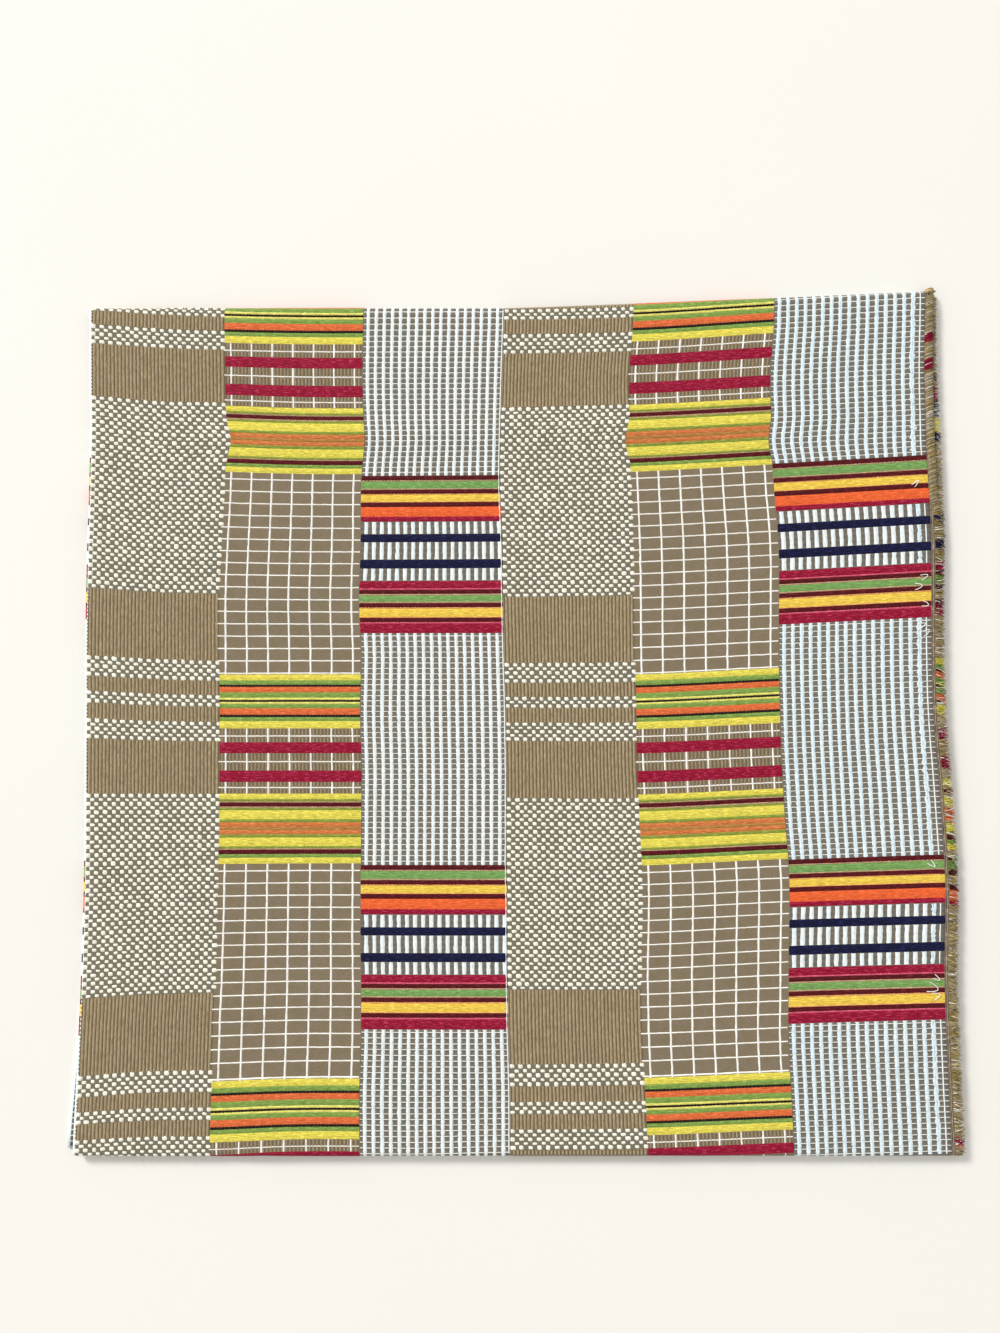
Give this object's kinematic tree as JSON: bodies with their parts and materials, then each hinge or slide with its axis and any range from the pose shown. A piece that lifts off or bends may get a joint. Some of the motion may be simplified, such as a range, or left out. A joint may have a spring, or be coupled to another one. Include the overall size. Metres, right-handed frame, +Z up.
{
  "type": "folded kente cloth",
  "caption": "Length of striped kente cloth, doubled lengthwise and folded in three, with fringed selvedges together along one side.",
  "frame": {"origin": "centre of the folded stack's outline, on the surface it rests on", "axes": "+X across the strips towards the fringed selvedges, +Y along the strips towards the far fold, +Z up out of the top panel"},
  "size_m": [0.6319, 0.6195, 0.0112],
  "materials": {
    "patterned_cotton": "matte woven cotton in khaki, white, yellow, green, orange, crimson and navy bands",
    "weft_tails": "matte cut yarn ends in the colours of the bands beside them",
    "weft_tails_under": "matte cut yarn ends in the colours of the bands beside them"
  },
  "bodies": {
    "root": {"woven_cloth": "patterned_cotton", "fringe_outer": "weft_tails", "fringe_under": "weft_tails_under"}
  },
  "joints": []
}
